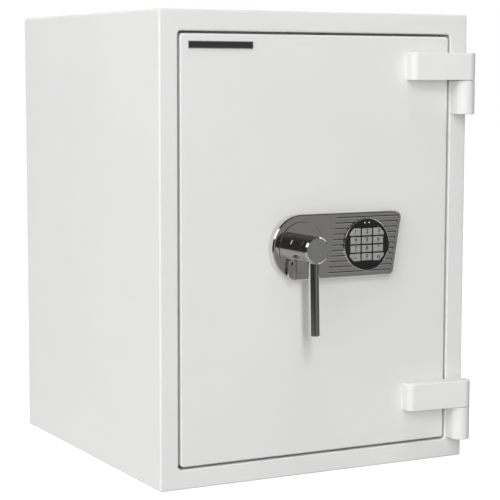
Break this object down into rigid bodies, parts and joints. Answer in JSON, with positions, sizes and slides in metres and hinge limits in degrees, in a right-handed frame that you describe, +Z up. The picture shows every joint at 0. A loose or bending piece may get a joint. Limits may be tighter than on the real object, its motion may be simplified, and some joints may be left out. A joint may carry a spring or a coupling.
{
  "type": "free-standing safe with keypad and lever handle",
  "caption": "Fire-resistant cabinet safe with outside hinges, a round keypad and a lever handle that throws bolts on three sides of the door.",
  "frame": {"origin": "middle of the base, on the floor", "axes": "+X to the right as seen from the front, -Y out of the front, +Z up"},
  "size_m": [0.5012, 0.5695, 0.66],
  "materials": {
    "white_paint": "satin",
    "liner_paint": "satin",
    "bright_steel": "satin",
    "chrome_plate": "polished",
    "brass_part": "satin",
    "lock_casting": "satin",
    "black_plastic": "satin",
    "key_plastic": "satin",
    "light_lens": "gloss",
    "circuit_board": "matte",
    "cell_wrap": "gloss",
    "cable_sheath": "matte",
    "seal_strip": "matte",
    "fire_infill": "matte",
    "plug_plastic": "satin",
    "plate_face": "gloss"
  },
  "bodies": {
    "safe_body": {"outer_casing": "white_paint", "base_plate": "white_paint", "rear_panel": "white_paint", "rear_anchor_plugs": "plug_plastic", "anchor_sleeves": "bright_steel", "body_infill": "fire_infill", "door_frame": "white_paint", "door_seal": "seal_strip", "inner_liner": "liner_paint", "shelf": "liner_paint", "shelf_clips": "bright_steel", "frame_hinge_upper": "white_paint", "frame_hinge_lower": "white_paint", "hinge_pins": "bright_steel"},
    "door": {"door_skin": "white_paint", "door_infill": "fire_infill", "door_back_plate": "liner_paint", "boltwork_case": "liner_paint", "door_inner_cover": "liner_paint", "cover_screws": "bright_steel", "hinge_arm_upper": "white_paint", "hinge_arm_lower": "white_paint", "dog_bar": "bright_steel", "name_plate": "plate_face", "escutcheon": "chrome_plate", "keypad_housing": "black_plastic", "keypad_ring": "chrome_plate", "keypad_board": "circuit_board", "indicator_lights": "light_lens", "keypad_cable": "cable_sheath", "key_cylinder": "brass_part", "key_cover_pivot": "chrome_plate", "lock_case": "lock_casting", "battery_holder": "black_plastic", "batteries": "cell_wrap", "spindle_bush": "brass_part", "guide_pins": "bright_steel"},
    "handle": {"handle_hub": "chrome_plate", "handle_lever": "chrome_plate", "handle_spindle": "bright_steel", "drive_pinion": "bright_steel", "blocking_cam": "bright_steel"},
    "side_boltwork": {"bolt_carrier": "bright_steel", "live_bolts": "bright_steel"},
    "top_boltwork": {"top_bolt_rod": "bright_steel"},
    "bottom_boltwork": {"bottom_bolt_rod": "bright_steel"},
    "lock_slide": {"lock_bolt": "bright_steel"},
    "keyhole_cover": {"key_cover": "chrome_plate"},
    "button_1": {"key_1": "key_plastic"},
    "button_2": {"key_2": "key_plastic"},
    "button_3": {"key_3": "key_plastic"},
    "button_4": {"key_4": "key_plastic"},
    "button_5": {"key_5": "key_plastic"},
    "button_6": {"key_6": "key_plastic"},
    "button_7": {"key_7": "key_plastic"},
    "button_8": {"key_8": "key_plastic"},
    "button_9": {"key_9": "key_plastic"},
    "button_clear": {"key_clear": "key_plastic"},
    "button_0": {"key_0": "key_plastic"},
    "button_enter": {"key_enter": "key_plastic"}
  },
  "joints": [
    {"name": "door_hinge", "type": "hinge", "parent": "safe_body", "child": "door", "pos_m": [0.2367, -0.27, 0.3223], "axis": [0, 0, 1], "range_deg": [0, 180]},
    {"name": "handle_turn", "type": "hinge", "parent": "door", "child": "handle", "pos_m": [-0.036, -0.255, 0.33], "axis": [0, 1, 0], "range_deg": [0, 90]},
    {"name": "side_bolts_slide", "type": "slide", "parent": "door", "child": "side_boltwork", "axis": [-1, 0, 0], "range_m": [0, 0.0236]},
    {"name": "top_bolt_slide", "type": "slide", "parent": "door", "child": "top_boltwork", "axis": [0, 0, 1], "range_m": [0, 0.0236]},
    {"name": "bottom_bolt_slide", "type": "slide", "parent": "door", "child": "bottom_boltwork", "axis": [0, 0, -1], "range_m": [0, 0.0236]},
    {"name": "lock_bolt_slide", "type": "slide", "parent": "door", "child": "lock_slide", "axis": [0, 0, 1], "range_m": [0, 0.008]},
    {"name": "keyhole_cover_swing", "type": "hinge", "parent": "door", "child": "keyhole_cover", "pos_m": [-0.0545, -0.274, 0.309], "axis": [0, 1, 0], "range_deg": [0, 100]},
    {"name": "press_1", "type": "slide", "parent": "door", "child": "button_1", "axis": [0, 1, 0], "range_m": [0, 0.001]},
    {"name": "press_2", "type": "slide", "parent": "door", "child": "button_2", "axis": [0, 1, 0], "range_m": [0, 0.001]},
    {"name": "press_3", "type": "slide", "parent": "door", "child": "button_3", "axis": [0, 1, 0], "range_m": [0, 0.001]},
    {"name": "press_4", "type": "slide", "parent": "door", "child": "button_4", "axis": [0, 1, 0], "range_m": [0, 0.001]},
    {"name": "press_5", "type": "slide", "parent": "door", "child": "button_5", "axis": [0, 1, 0], "range_m": [0, 0.001]},
    {"name": "press_6", "type": "slide", "parent": "door", "child": "button_6", "axis": [0, 1, 0], "range_m": [0, 0.001]},
    {"name": "press_7", "type": "slide", "parent": "door", "child": "button_7", "axis": [0, 1, 0], "range_m": [0, 0.001]},
    {"name": "press_8", "type": "slide", "parent": "door", "child": "button_8", "axis": [0, 1, 0], "range_m": [0, 0.001]},
    {"name": "press_9", "type": "slide", "parent": "door", "child": "button_9", "axis": [0, 1, 0], "range_m": [0, 0.001]},
    {"name": "press_clear", "type": "slide", "parent": "door", "child": "button_clear", "axis": [0, 1, 0], "range_m": [0, 0.001]},
    {"name": "press_0", "type": "slide", "parent": "door", "child": "button_0", "axis": [0, 1, 0], "range_m": [0, 0.001]},
    {"name": "press_enter", "type": "slide", "parent": "door", "child": "button_enter", "axis": [0, 1, 0], "range_m": [0, 0.001]}
  ],
  "couplings": [
    {"joint": "side_bolts_slide", "follows": "handle_turn", "m_per_rad": 0.015},
    {"joint": "top_bolt_slide", "follows": "handle_turn", "m_per_rad": 0.015},
    {"joint": "bottom_bolt_slide", "follows": "handle_turn", "m_per_rad": 0.015}
  ]
}
